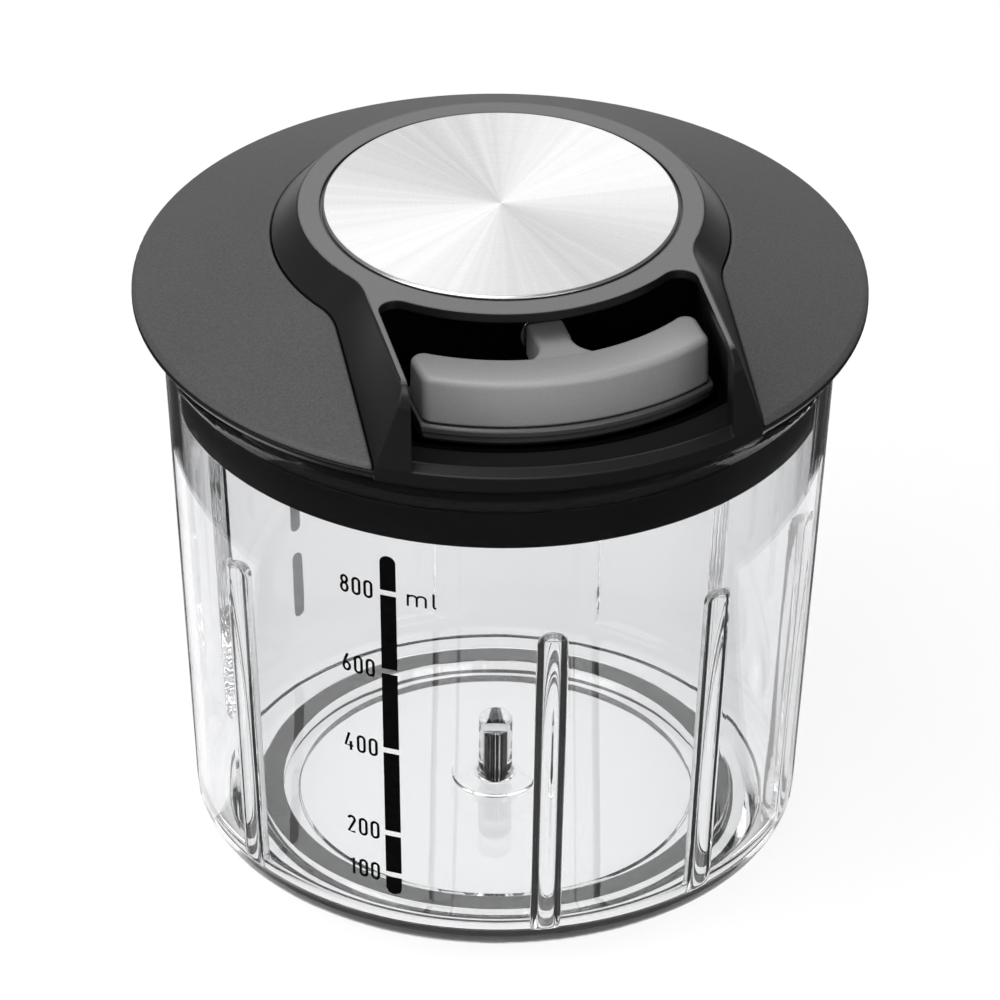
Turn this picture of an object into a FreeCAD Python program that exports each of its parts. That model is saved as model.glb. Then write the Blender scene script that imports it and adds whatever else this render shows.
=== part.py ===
import FreeCAD, Part
import math
import os

# Pull-cord food chopper: a clear bowl with a rubber foot, and a lid that holds a cord reel,
# its return spring, a one-way drive and the pull handle in its pocket.
# Millimetres, +Z up, origin at the centre of the foot. The handle comes out towards -Y.

Vec = FreeCAD.Vector

# Clearances
body_gap = 0.3          # between pieces that move apart
seat_gap = 0.1          # between pieces of the same body that are assembled by hand
running_fit = 0.05      # radial, between a shaft and its bush
press_gap = 0.02        # between pieces that are pressed together
panel_gap = 0.25        # the line round the wing cover
reel_room = 1.2         # between the reel and the tray beside it
tray_room = 0.2         # between the tray's back and what lies behind it
handle_room_back = 3.2  # between the pocket's back edge and the handle
handle_room_front = 1.9
handle_room_ends = 2.1

# Shaft, drum, reel and walls: the widths of the lid are built outwards from these
shaft_radius = 4.0
shaft_flat = 3.2
bush_wall = 2.1
bobbin_bush_wall = 1.5
arbor_radius = 8.0
drum_radius = 13.0
winding_depth = 12.0
flange_step = 3.0
cavity_room = 5.0
tray_wall = 1.6
skirt_wall = 2.2
skirt_clearance = 0.35
bowl_wall = 2.1
bowl_overhang = 5.2          # of the lid over the bowl's rim
bobbin_bore = shaft_radius + running_fit + bobbin_bush_wall
reel_flange_radius = drum_radius + winding_depth
top_flange_radius = reel_flange_radius - flange_step
cavity_radius = reel_flange_radius + cavity_room

# Widths of the lid, from the reel outwards
pocket_arch = 10.3
arch_land = 4.0             # between the pocket's back edge and where its sides drop to the slope
pocket_edge = 0.7
plateau_ring = 4.5
hub_draft = 4.8
handle_depth = 10.5
handle_lip_reach = 1.2
skirt_room = 1.85            # between the tray and the housing's wall
arm_inset = 6.2
arm_draft = 5.2
arm_wall = 1.1
well_undercut = 1.5
pocket_front_rim = 2.4
pocket_back = reel_flange_radius + reel_room + tray_room + tray_wall
pocket_back_radius = pocket_back + pocket_arch
hub_top_radius = pocket_back_radius - pocket_edge
hub_foot_radius = hub_top_radius + hub_draft
disc_radius = hub_top_radius - plateau_ring
handle_back_radius = pocket_back_radius + handle_room_back
handle_front_radius = handle_back_radius + handle_depth
handle_lip_radius = handle_front_radius + handle_lip_reach
tray_radius = handle_lip_radius + handle_room_front + tray_wall
skirt_outer = tray_radius + skirt_room + skirt_wall
lid_radius = skirt_outer + skirt_clearance + bowl_wall + bowl_overhang
arm_foot_half = hub_foot_radius - arm_inset
arm_top_half = arm_foot_half - arm_draft
pocket_half = arm_top_half - arm_wall
pocket_well_half = pocket_half + well_undercut
pocket_front_radius = lid_radius - pocket_front_rim

# Heights, from the top of the disc downwards
overall_height = 133.7
disc_proud = 0.5
lid_rise = 20.2             # the disc above the bowl's rim
roof_thickness = 2.6
shaft_into_roof = 0.4
ratchet_below_roof = 5.6
ratchet_height = 3.4
pawl_clearance = 0.4
reel_flange = 1.6
drum_width = 8.4
barrel_depth = 10.0
barrel_cover_thickness = 1.4
barrel_room = 2.9
housing_floor = 2.0
plateau_z = overall_height - disc_proud
bowl_top = overall_height - lid_rise
cavity_roof = plateau_z - roof_thickness
shaft_top = cavity_roof + shaft_into_roof
ratchet_bottom = cavity_roof - ratchet_below_roof
drum_top = ratchet_bottom - pawl_clearance - reel_flange
web_bottom = drum_top - drum_width - reel_flange
barrel_bottom = web_bottom - barrel_depth
skirt_bottom = barrel_bottom - barrel_cover_thickness - barrel_room - housing_floor
below_lid = bowl_top / 2              # cutting shapes for the lid start here
above_lid = overall_height + 10.0     # and end here
far_forward = lid_radius + 12.0       # and reach this far out of the front

# Bowl
bowl_flare = 0.0617          # radius gained per unit of height
bowl_base_radius = lid_radius - bowl_overhang - bowl_flare * bowl_top
bowl_foot_inset = 5.7
bowl_foot_step = 2.9
bowl_foot_width = 13.3
bowl_foot_upper_radius = bowl_base_radius - bowl_foot_inset
bowl_foot_lower_radius = bowl_foot_upper_radius - bowl_foot_step
bowl_foot_inner_radius = bowl_foot_upper_radius - bowl_foot_width
bowl_foot_bottom = 1.0
bowl_foot_top = 4.2
bowl_floor_top = 7.5
bowl_floor_thickness = 2.4
bowl_corner_start = 8.6     # height where the wall turns in to the foot
bowl_inner_corner = 4.5
bowl_rim_round = 0.9
rib_radius = 2.5
rib_below_rim = 36.3
rib_top = bowl_top - rib_below_rim
rib_sunk = 0.8               # how far into the wall a rib reaches, as a share of the wall
rib_angles = (-66.5, -2.8, 30.5, 60.5, 118.0, 148.5, 177.5, -122.5)   # from the handle's direction
boss_radius = 3.2
boss_top = 21.0
boss_nose = 1.2
boss_step_radius = 8.3
boss_step_height = 0.5
boss_root_fillet = 1.4
spindle_radius = 1.4
spindle_top = 17.4
spindle_chamfer = 0.25
gate_mark_radius = 2.2
gate_mark_depth = 0.35
gate_mark_inset = 7.3
gate_mark_circle = bowl_foot_upper_radius - gate_mark_inset
gate_mark_angles = (-4.5, 120.0, -123.5)

# Non-slip ring under the foot
grip_inset = 3.2
grip_width = 4.1
grip_flange_width = 0.9
grip_inner_radius = bowl_foot_inner_radius + grip_inset
grip_outer_radius = grip_inner_radius + grip_width
grip_flange_radius = grip_outer_radius + grip_flange_width
grip_flange = 0.95
grip_top = 5.9
grip_edge = 0.3

# Metal disc
disc_thickness = 1.3
disc_bevel = 0.4
disc_margin = 0.5

# Lid shell
rim_under = bowl_top + body_gap
rim_chamfer = 1.5
rim_height = 3.3
rim_side_bottom = bowl_top + rim_chamfer
wing_rim_z = bowl_top + rim_height
wing_slope = 0.42
wing_thickness = 1.7
rim_line_drop = 1.0          # the cover's lower edge, below the top of the rim
rim_round = 0.8
deck_thickness = 2.0
middle_edge_round = 0.7
cover_edge_round = 0.4
hub_top_blend = 12.0
hub_foot_blend = 14.0
arm_nose_round = 4.4
arm_nose_draft = 1.2
locating_ring_depth = 2.3
locating_ring_room = 0.9
locating_ring_inner = tray_radius + locating_ring_room
locating_ring_bottom = bowl_top - locating_ring_depth

# Pocket
pocket_corner = 3.4
pocket_side_end = 2.7
pocket_deck_z = rim_side_bottom
pocket_side_front = tray_radius - pocket_side_end
plateau_thickness = 1.9
tray_depth = 5.4
tray_floor_top = pocket_deck_z - tray_depth

# Housing under the lid, with the black skirt that sits inside the bowl
skirt_edge_round = 0.5
seal_height = 2.6
seal_drop = 8.9
seal_bottom = bowl_top - seal_drop
seal_depth = 1.3
seal_back = 1.4             # wall behind the seal's groove
arbor_end_room = 1.0
arbor_top = web_bottom - arbor_end_room

# Drive
coupling_radius = 9.0
coupling_height = 12.9
coupling_top = skirt_bottom - body_gap
coupling_bottom = coupling_top - coupling_height
coupling_grip = 6.0         # how far the shaft reaches into the coupling
coupling_socket_depth = 6.7
socket_across_flats = 9.6
socket_lead = 1.2
ratchet_radius = 11.6
ratchet_depth = 1.8
ratchet_teeth = 10
tooth_undercut = 0.06       # radians

# Reel and mainspring
barrel_wall = 1.6
lightening_radius = 2.2
lightening_count = 6
cord_radius = 1.1
wound_layers = 1.7
spring_strip = 0.5
spring_turns = 5
spring_inner_room = 1.2
spring_outer_room = 0.8
spring_margin = 0.6
spring_inner = arbor_radius + spring_inner_room
spring_outer = reel_flange_radius - barrel_wall - spring_outer_room
pawl_pin_radius = 1.2
pawl_pin_inset = 4.0
pawl_pivot_radius = drum_radius + pawl_pin_inset
pawl_eye_radius = 2.6
pawl_height = 3.0
pawl_count = 2
pawl_sweep = 34.0           # degrees from the pawl's pin to its nose

# Handle
handle_turn = 3.2       # it hangs a little to one side in its pocket, degrees about the lid's axis
cord_exit_drop = 0.6
handle_above_cord = 3.6
handle_below_cord = 4.4
handle_lower_height = 4.6
handle_top_rise = 1.0
cord_exit_z = drum_top - cord_exit_drop
handle_parting = cord_exit_z - handle_below_cord
handle_bottom = handle_parting - handle_lower_height
handle_top_back = cord_exit_z + handle_above_cord
handle_top_front = handle_top_back + handle_top_rise
handle_end_draft = 0.6
handle_foot_draft = 0.4
handle_half_lip = pocket_half - handle_room_ends
handle_half_top = handle_half_lip - handle_end_draft
handle_half_foot = handle_half_lip - handle_foot_draft
handle_front_draft = 0.7
handle_back_draft = 0.4
handle_lip_height = 1.5
handle_lip_edge = 0.5
handle_lip_proud = 0.4
handle_foot_chamfer = 1.3
handle_foot_edge = 1.0
handle_lower_corner = 1.2
handle_wall = 2.0
handle_joint_gap = 0.5
handle_corner = 2.4
handle_edge = 1.3
neck_half = 3.4
neck_tip_room = 1.7
neck_sunk = 1.1
neck_flare_length = 7.2
neck_root_half = 8.8
neck_below_cord = 3.2
neck_round = 1.0
neck_tip = pocket_back + neck_tip_room
neck_root = handle_back_radius + neck_sunk
neck_flare_start = neck_root - neck_flare_length
neck_bottom = cord_exit_z - neck_below_cord
neck_block_half = 5.0       # the solid part behind the neck, where the cord is held
neck_block_reach = 7.0
anchor_radius = 2.2
anchor_length = 4.5
anchor_inset = 1.3
anchor_start = handle_back_radius + anchor_inset
eyelet_body_radius = 2.8
eyelet_flange_radius = 4.2
eyelet_flange = 0.8
eyelet_flare = 0.6
eyelet_shift = Vec(pocket_back * math.tan(math.radians(handle_turn)), 0, 0)

# Screws
screw_radius = 1.5
screw_core = 0.15           # the screw's thread bites this deep
screw_head_radius = 2.8
screw_head_height = 1.8
screw_recess = 0.2
screw_slot = 0.8
screw_hole_room = 0.2
screw_boss_radius = 4.2
housing_screw_length = 16.5
housing_screw_inset = 8.7
housing_screw_circle = tray_radius - housing_screw_inset
housing_screw_angles = (62.0, 130.0, 230.0, 298.0)
housing_joint_drop = 5.4
housing_joint_z = bowl_top - housing_joint_drop      # where the housing's posts meet the lid's
handle_screw_length = 7.0
handle_screw_inset = 12.9
handle_screw_x = pocket_half - handle_screw_inset
handle_pillar_radius = 2.8


def wing_z(radius):
    """Height of the sloping top of the lid at a radius."""
    return wing_rim_z + (lid_radius - radius) * wing_slope


def bowl_outer(z):
    return bowl_base_radius + bowl_flare * z


def bowl_inner(z):
    return bowl_outer(z) - bowl_wall


def at(side, forward, z):
    """A point from its distance to the side, its distance towards the handle, and its height."""
    return Vec(side, -forward, z)


def line(a, b):
    return Part.LineSegment(a, b).toShape()


def arc(a, b, c):
    return Part.Arc(a, b, c).toShape()


def outline_wire(points):
    """A closed wire in the XZ plane. A point of four numbers is the end of an arc, with its middle first."""
    corners = [(p[-2], p[-1]) for p in points]
    edges = []
    for index, point in enumerate(points):
        start = corners[index - 1]
        first = Vec(start[0], 0, start[1])
        last = Vec(point[-2], 0, point[-1])
        if len(point) == 4:
            edges.append(arc(first, Vec(point[0], 0, point[1]), last))
        else:
            edges.append(line(first, last))
    return Part.Wire(edges)


def revolve(points):
    """A solid turned about the vertical axis from its half section of radius and height."""
    solid = Part.Face(outline_wire(points)).revolve(Vec(0, 0, 0), Vec(0, 0, 1), 360)
    return oriented(solid)


def oriented(solid):
    if solid.Volume < 0:
        solid.reverse()
    return solid


def cylinder(radius, bottom, top, side=0.0, forward=0.0):
    return Part.makeCylinder(radius, top - bottom, at(side, forward, bottom))


def tube(inner, outer, bottom, top):
    return cylinder(outer, bottom, top).cut(cylinder(inner, bottom - 1, top + 1))


def block(half, back, front, bottom, top):
    """A box centred across the handle's direction."""
    return Part.makeBox(2 * half, front - back, top - bottom, Vec(-half, -front, bottom))


def polar(radius, degrees):
    """Side and forward distances of a point at an angle from the handle's direction."""
    turn = math.radians(degrees)
    return radius * math.sin(turn), radius * math.cos(turn)


def turned(shape, degrees):
    """The shape turned from the handle's direction to another angle about the upright axis."""
    copy = shape.copy()
    copy.rotate(Vec(0, 0, 0), Vec(0, 0, 1), degrees)
    return copy


# The keyhole shape of the raised middle of the lid

def keyhole_points(hub, half, blend):
    """Where the straight arm meets its blend, the middle of the blend, and where that meets the hub."""
    reach = math.sqrt((hub + blend) ** 2 - (half + blend) ** 2)
    centre = (half + blend, reach)
    on_hub = (centre[0] * hub / (hub + blend), centre[1] * hub / (hub + blend))
    to_arm = math.pi
    to_hub = math.atan2(on_hub[1] - centre[1], on_hub[0] - centre[0]) % (2 * math.pi)
    middle_turn = (to_arm + to_hub) / 2
    middle = (centre[0] + blend * math.cos(middle_turn), centre[1] + blend * math.sin(middle_turn))
    return (half, reach), middle, on_hub


def keyhole_wire(hub, half, blend, height):
    """The keyhole outline with its height given as a function of the radius."""
    arm, middle, on_hub = keyhole_points(hub, half, blend)

    def place(point, sign=1):
        return at(sign * point[0], point[1], height(math.hypot(point[0], point[1])))

    front = (half, far_forward)
    halfway = (half, (arm[1] + far_forward) / 2)
    side_back = (hub * math.cos(math.radians(20)), -hub * math.sin(math.radians(20)))
    back = (0.0, -hub)
    edges = [
        arc(place(front), place(halfway), place(arm)) if height(0) != height(hub)
        else line(place(front), place(arm)),
        arc(place(arm), place(middle), place(on_hub)),
        arc(place(on_hub), place(side_back), place(back)),
        arc(place(back), place(side_back, -1), place(on_hub, -1)),
        arc(place(on_hub, -1), place(middle, -1), place(arm, -1)),
        arc(place(arm, -1), place(halfway, -1), place(front, -1)) if height(0) != height(hub)
        else line(place(arm, -1), place(front, -1)),
        line(place(front, -1), place(front)),
    ]
    return Part.Wire(edges)


def keyhole_prism(grow, bottom, top):
    """An upright prism on the foot outline of the raised middle, grown by a gap."""
    wire = keyhole_wire(hub_foot_radius + grow, arm_foot_half + grow, hub_foot_blend - grow, lambda r: bottom)
    return oriented(Part.Face(wire).extrude(Vec(0, 0, top - bottom)))


def raised_middle():
    """The keyhole block: upright below the slope of the lid, leaning in above it."""
    low = keyhole_wire(hub_foot_radius, arm_foot_half, hub_foot_blend, lambda r: below_lid)
    foot = keyhole_wire(hub_foot_radius, arm_foot_half, hub_foot_blend, wing_z)
    top = keyhole_wire(hub_top_radius, arm_top_half, hub_top_blend, lambda r: plateau_z)
    solid = oriented(Part.makeLoft([low, foot, top], True, True))
    solid = solid.makeFillet(middle_edge_round, [e for e in solid.Edges if is_top_side(e)])
    nose = lid_radius - arm_nose_draft
    envelope = revolve([
        (0, rim_under), (lid_radius, rim_under), (lid_radius, wing_rim_z), (nose, plateau_z - arm_nose_round),
        (nose - 0.29 * arm_nose_round, plateau_z - 0.29 * arm_nose_round, nose - arm_nose_round, plateau_z),
        (0, plateau_z)])
    return solid.common(envelope)


def is_top_side(edge):
    """The edges round the flat top of the raised middle, but not the far end that is cut away."""
    points = [v.Point for v in edge.Vertexes]
    at_front = all(p.y < -far_forward + 0.1 for p in points)
    return min(p.z for p in points) > plateau_z - 0.01 and not at_front


def pocket_opening():
    """The opening in the top of the lid: two arcs, two straight sides, rounded corners at the back."""
    prism = block(pocket_half, 0, far_forward, plateau_z - plateau_thickness, above_lid)
    prism = prism.cut(cylinder(pocket_back_radius, below_lid, above_lid))
    prism = prism.common(cylinder(pocket_front_radius, below_lid, above_lid))
    corner_forward = math.sqrt(pocket_back_radius ** 2 - pocket_half ** 2)
    sharp = [e for e in prism.Edges if is_upright(e) and e.Vertexes[0].Point.y > -corner_forward - 0.1]
    return prism.makeFillet(pocket_corner, sharp)


def is_upright(edge):
    if len(edge.Vertexes) != 2:
        return False
    a, b = (v.Point for v in edge.Vertexes)
    return abs(a.x - b.x) < 1e-6 and abs(a.y - b.y) < 1e-6


def lid_cap():
    """The dark core of the lid: rim, deck under the wing cover, raised middle and pocket walls."""
    under = wing_thickness + panel_gap
    deck_in = hub_foot_radius - deck_thickness
    rim_line = wing_rim_z - rim_line_drop - panel_gap / 2
    step_radius = lid_radius - 1.0
    deck = revolve([
        (lid_radius, rim_side_bottom), (lid_radius, rim_line),
        (step_radius, rim_line), (step_radius, wing_z(step_radius) - under),
        (deck_in, wing_z(deck_in) - under), (deck_in, wing_z(deck_in) - under - deck_thickness),
        (locating_ring_inner, wing_z(locating_ring_inner) - under - deck_thickness),
        (locating_ring_inner, locating_ring_bottom),
        (bowl_inner(locating_ring_bottom) - skirt_clearance, locating_ring_bottom),
        (bowl_inner(rim_under) - skirt_clearance, rim_under), (lid_radius - rim_round, rim_under)])
    body = raised_middle().fuse(deck)
    post_top = wing_z(housing_screw_circle + screw_boss_radius) - under - seat_gap
    for angle in housing_screw_angles:
        side, forward = polar(housing_screw_circle, angle)
        post = cylinder(screw_boss_radius, housing_joint_z + seat_gap, post_top, side, forward)
        body = body.fuse(post)
        pilot = cylinder(screw_radius - screw_core + press_gap, below_lid, post_top - 1.5, side, forward)
        body = body.cut(pilot)
    body = body.removeSplitter()
    tray_back = pocket_back - tray_wall - tray_room
    mechanism = cylinder(cavity_radius, below_lid, cavity_roof).common(
        block(cavity_radius + 1, -cavity_radius - 1, tray_back, below_lid, above_lid))
    body = body.cut(mechanism)
    bush_seat = shaft_radius + running_fit + bush_wall
    body = body.fuse(cylinder(bush_seat + 2, top_bush_bottom(), cavity_roof + 0.3))
    body = body.cut(cylinder(bush_seat, below_lid, shaft_top + 0.3))
    roof = plateau_z - plateau_thickness
    hollow = block(pocket_half + 0.5, tray_back, far_forward, pocket_deck_z, roof)
    body = body.cut(hollow.common(cylinder(pocket_front_radius, below_lid, above_lid)))
    wide = end_wedge(pocket_well_half + tray_wall, pocket_half + 0.4, pocket_deck_z, roof)
    body = body.cut(wide.common(block(lid_radius, tray_back, pocket_side_front, below_lid, above_lid)))
    well = block(pocket_well_half + tray_wall, tray_back, far_forward, below_lid, pocket_deck_z + 0.01)
    body = body.cut(well.common(cylinder(tray_radius + seat_gap, below_lid, above_lid)))
    body = body.cut(pocket_opening())
    slope_start = pocket_back_radius + arch_land
    above_slope = revolve([
        (slope_start, wing_z(slope_start)), (far_forward, wing_z(far_forward)),
        (far_forward, above_lid), (slope_start, above_lid)])
    window = block(pocket_half, slope_start + arch_land, far_forward, below_lid, above_lid)
    body = body.cut(above_slope.common(window))
    body = body.cut(cylinder(disc_radius + disc_margin, overall_height - disc_thickness, above_lid))
    return body.removeSplitter()


def wing_cover():
    """The lighter cover that wraps round both sides and the back of the raised middle."""
    inner = hub_foot_radius - 3
    step_radius = lid_radius - 1.3
    edge = lid_radius - rim_round
    low = wing_rim_z - rim_line_drop + panel_gap / 2
    shell = revolve([
        (lid_radius, low), (lid_radius - 0.25 * rim_round, wing_rim_z - 0.2, edge, wing_z(edge)),
        (inner, wing_z(inner)), (inner, wing_z(inner) - wing_thickness),
        (step_radius, wing_z(step_radius) - wing_thickness), (step_radius, low)])
    shell = shell.cut(keyhole_prism(panel_gap, below_lid, above_lid))
    return shell.makeFillet(cover_edge_round, [e for e in shell.Edges if is_inner_border(e)])


def is_inner_border(edge):
    """The edges of the cover's sloping top where it meets the raised middle."""
    points = [v.Point for v in edge.Vertexes]
    points.append(edge.valueAt((edge.FirstParameter + edge.LastParameter) / 2))
    radii = [math.hypot(p.x, p.y) for p in points]
    on_slope = all(abs(p.z - wing_z(r)) < 0.01 for p, r in zip(points, radii))
    return on_slope and max(radii) < lid_radius - rim_round - 0.1


def metal_disc():
    top = overall_height
    low = top - disc_thickness
    return revolve([(0, low), (disc_radius, low), (disc_radius, top - disc_bevel),
                    (disc_radius - disc_bevel, top), (0, top)])


def pocket_tray():
    """The tub that closes the pocket below and carries the cord's eyelet in its back wall."""
    outside = block(pocket_well_half + tray_wall - seat_gap, pocket_back - tray_wall, far_forward,
                    tray_floor_top - tray_wall, pocket_deck_z - seat_gap)
    outside = outside.common(cylinder(tray_radius, below_lid, above_lid))
    back = block(pocket_half - seat_gap, pocket_back - tray_wall, pocket_back, tray_floor_top,
                 plateau_z - plateau_thickness - seat_gap)
    inside = block(pocket_well_half - seat_gap, pocket_back, far_forward, tray_floor_top, above_lid)
    inside = inside.common(cylinder(tray_radius - tray_wall, below_lid, above_lid))
    tray = outside.cut(inside).fuse(back)
    behind = at(0, pocket_back - 2 * tray_wall, cord_exit_z)
    before = at(0, pocket_back + tray_wall, cord_exit_z)
    hole = rod(behind, before, eyelet_body_radius + seat_gap)
    hole.translate(eyelet_shift)
    return tray.cut(hole).removeSplitter()


def cord_eyelet():
    """The smooth ring that the cord runs through on its way out of the lid."""
    back = pocket_back - tray_wall
    bore = cord_radius + 0.5
    front = pocket_back + eyelet_flange
    profile = outline_wire([
        (bore, -back), (bore, -front + eyelet_flare),
        (bore + 0.3 * eyelet_flare, -front + 0.3 * eyelet_flare, bore + eyelet_flare, -front),
        (eyelet_flange_radius, -front), (eyelet_flange_radius, -pocket_back - press_gap),
        (eyelet_body_radius, -pocket_back - press_gap), (eyelet_body_radius, -back)])
    ring = oriented(Part.Face(profile).revolve(Vec(0, 0, 0), Vec(0, 0, 1), 360))
    ring.rotate(Vec(0, 0, 0), Vec(1, 0, 0), -90)
    ring.translate(Vec(0, 0, cord_exit_z) + eyelet_shift)
    return ring


def inner_housing():
    """The black cup under the lid: its skirt shows through the bowl and its floor carries the drive."""
    bore = shaft_radius + running_fit + bush_wall
    skirt_low = bowl_inner(skirt_bottom) - skirt_clearance
    skirt_high = bowl_inner(locating_ring_bottom) - skirt_clearance
    top = locating_ring_bottom - press_gap
    seal_top = seal_bottom + seal_height
    groove = bowl_inner(seal_bottom) - skirt_clearance - seal_depth
    behind_seal = groove - seal_back
    floor_top = skirt_bottom + housing_floor
    cup = revolve([
        (bore, skirt_bottom), (skirt_low - skirt_edge_round, skirt_bottom),
        (skirt_low - 0.29 * skirt_edge_round, skirt_bottom + 0.29 * skirt_edge_round,
         skirt_low, skirt_bottom + skirt_edge_round),
        (bowl_inner(seal_bottom) - skirt_clearance, seal_bottom), (groove, seal_bottom), (groove, seal_top),
        (bowl_inner(seal_top) - skirt_clearance, seal_top),
        (skirt_high, top), (skirt_high - skirt_wall, top),
        (skirt_low - skirt_wall, seal_top + 2), (behind_seal, seal_top + 1), (behind_seal, seal_bottom - 1),
        (skirt_low - skirt_wall - 0.5, floor_top), (arbor_radius, floor_top),
        (arbor_radius, arbor_top), (bore, arbor_top)])
    for angle in housing_screw_angles:
        side, forward = polar(housing_screw_circle, angle)
        cup = cup.fuse(cylinder(screw_boss_radius, floor_top - 1, housing_joint_z, side, forward))
        cup = cup.cut(cylinder(screw_radius + screw_hole_room, below_lid, above_lid, side, forward))
        head_top = skirt_bottom + screw_recess + screw_head_height
        cup = cup.cut(cylinder(screw_head_radius + screw_hole_room, below_lid, head_top, side, forward))
    return cup.removeSplitter()


def seal_ring():
    groove = bowl_inner(seal_bottom) - skirt_clearance - seal_depth
    low = seal_bottom + seat_gap
    high = seal_bottom + seal_height - seat_gap
    outer = bowl_inner(low) - body_gap
    return revolve([(groove + press_gap, low), (outer - 0.4, low), (outer, low + 0.7, outer - 0.4, high),
                    (groove + press_gap, high)])


def screw(length):
    """A pan-head screw standing on its head at the origin, pointing up."""
    body = Part.makeCylinder(screw_head_radius, screw_head_height).fuse(
        Part.makeCylinder(screw_radius - screw_core, screw_head_height + length))
    wide = 2 * screw_head_radius
    slot = Part.makeBox(screw_slot, wide, screw_slot, Vec(-screw_slot / 2, -wide / 2, -0.1))
    cross = Part.makeBox(wide, screw_slot, screw_slot, Vec(-wide / 2, -screw_slot / 2, -0.1))
    keep = Part.makeCylinder(screw_head_radius * 0.62, 3, Vec(0, 0, -1))
    return body.cut(slot.fuse(cross).common(keep)).removeSplitter()


def housing_screws():
    screws = []
    for angle in housing_screw_angles:
        side, forward = polar(housing_screw_circle, angle)
        piece = screw(housing_screw_length)
        piece.translate(at(side, forward, skirt_bottom + screw_recess))
        screws.append(piece)
    return Part.makeCompound(screws)


# Bowl and its foot

def bowl():
    """The clear bowl with its flow-breaker ribs, its foot and the boss round the spindle."""
    corner_r = bowl_outer(bowl_corner_start)
    floor_under = bowl_floor_top - bowl_floor_thickness
    inner_low = bowl_inner(bowl_floor_top + bowl_inner_corner)
    step_z = bowl_floor_top + boss_step_height
    profile = [
        (0, floor_under), (bowl_foot_inner_radius, floor_under),
        (bowl_foot_inner_radius + 0.2, bowl_foot_bottom), (bowl_foot_lower_radius, bowl_foot_bottom),
        (bowl_foot_upper_radius, bowl_foot_top - 1.6), (bowl_foot_upper_radius + 0.2, bowl_foot_top),
        (0.35 * bowl_foot_upper_radius + 0.65 * corner_r, 0.75 * bowl_foot_top + 0.25 * bowl_corner_start,
         corner_r, bowl_corner_start),
        (bowl_outer(bowl_top - bowl_rim_round), bowl_top - bowl_rim_round),
        (bowl_outer(bowl_top) - 0.29 * bowl_rim_round, bowl_top - 0.29 * bowl_rim_round,
         bowl_outer(bowl_top) - bowl_rim_round, bowl_top),
        (bowl_inner(bowl_top), bowl_top),
        (inner_low, bowl_floor_top + bowl_inner_corner),
        (inner_low - 0.32 * bowl_inner_corner, bowl_floor_top + 0.3 * bowl_inner_corner,
         inner_low - bowl_inner_corner, bowl_floor_top),
        (boss_step_radius, bowl_floor_top), (boss_step_radius - 0.3, step_z),
        (boss_radius + boss_root_fillet, step_z),
        (boss_radius + 0.29 * boss_root_fillet, step_z + 0.29 * boss_root_fillet,
         boss_radius, step_z + boss_root_fillet),
        (boss_radius, boss_top - boss_nose),
        (boss_radius - 0.29 * boss_nose, boss_top - 0.29 * boss_nose, boss_radius - boss_nose, boss_top),
        (0, boss_top)]
    body = revolve(profile)
    body = body.cut(cylinder(spindle_radius, 0, spindle_top + seat_gap))
    fit = seat_gap / 2
    body = body.cut(tube(grip_inner_radius - fit, grip_outer_radius + fit, 0, grip_top + fit))
    rib = wall_rib()
    for angle in rib_angles:
        body = body.fuse(turned(rib, angle))
    for angle in gate_mark_angles:
        side, forward = polar(gate_mark_circle, angle)
        mark_low = bowl_floor_top - gate_mark_depth
        body = body.cut(cylinder(gate_mark_radius, mark_low, bowl_floor_top + 3, side, forward))
    return body.removeSplitter()


def wall_rib():
    """A half-round rib on the inside of the wall, towards the handle, with a domed and sloping top."""
    low = bowl_floor_top - 0.6
    start = at(0, bowl_inner(low), low)
    end = at(0, bowl_inner(rib_top), rib_top - rib_radius)
    along = end - start
    bar = Part.makeCylinder(rib_radius, along.Length, start, along)
    dome = Part.makeSphere(rib_radius, end)
    rib = bar.fuse(dome)
    sunk = rib_sunk * bowl_wall
    high = rib_top + rib_radius
    keep = revolve([(0, low), (bowl_inner(low) + sunk, low), (bowl_inner(high) + sunk, high), (0, high)])
    return rib.common(keep)


def spindle_pin():
    """The steel pin in the bowl's boss that a blade insert turns on."""
    low = bowl_floor_top - bowl_floor_thickness + seat_gap
    pin = cylinder(spindle_radius - press_gap / 2, low, spindle_top)
    return pin.makeChamfer(spindle_chamfer, [e for e in pin.Edges if len(e.Vertexes) == 1])


def non_slip_ring():
    """The rubber ring: its foot stands proud of the bowl, its body fills the groove up to the floor."""
    return revolve([
        (grip_inner_radius, grip_edge), (grip_inner_radius + grip_edge, 0),
        (grip_flange_radius - grip_edge, 0), (grip_flange_radius, grip_edge),
        (grip_flange_radius, grip_flange), (grip_outer_radius, grip_flange),
        (grip_outer_radius, grip_top), (grip_inner_radius, grip_top)])


# Drive line

def drive_shaft():
    """The shaft with the flats that the ratchet wheel and the coupling sit on."""
    bottom = coupling_top - coupling_grip
    shaft = cylinder(shaft_radius, bottom, shaft_top)
    for low, high in ((bottom - 1, coupling_top), (ratchet_bottom, ratchet_bottom + ratchet_height)):
        shaft = shaft.cut(beyond_flat(low, high, 0))
    return shaft


def beyond_flat(low, high, gap):
    """What lies outside the shaft's flat, between two heights."""
    wide = 4 * shaft_radius
    return Part.makeBox(wide, wide, high - low, Vec(-wide / 2, shaft_flat + gap, low))


def flatted_hole(bottom, top):
    """The hole that fits the shaft's flat."""
    return cylinder(shaft_radius + press_gap, bottom, top).cut(beyond_flat(bottom - 1, top + 1, press_gap))


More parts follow.
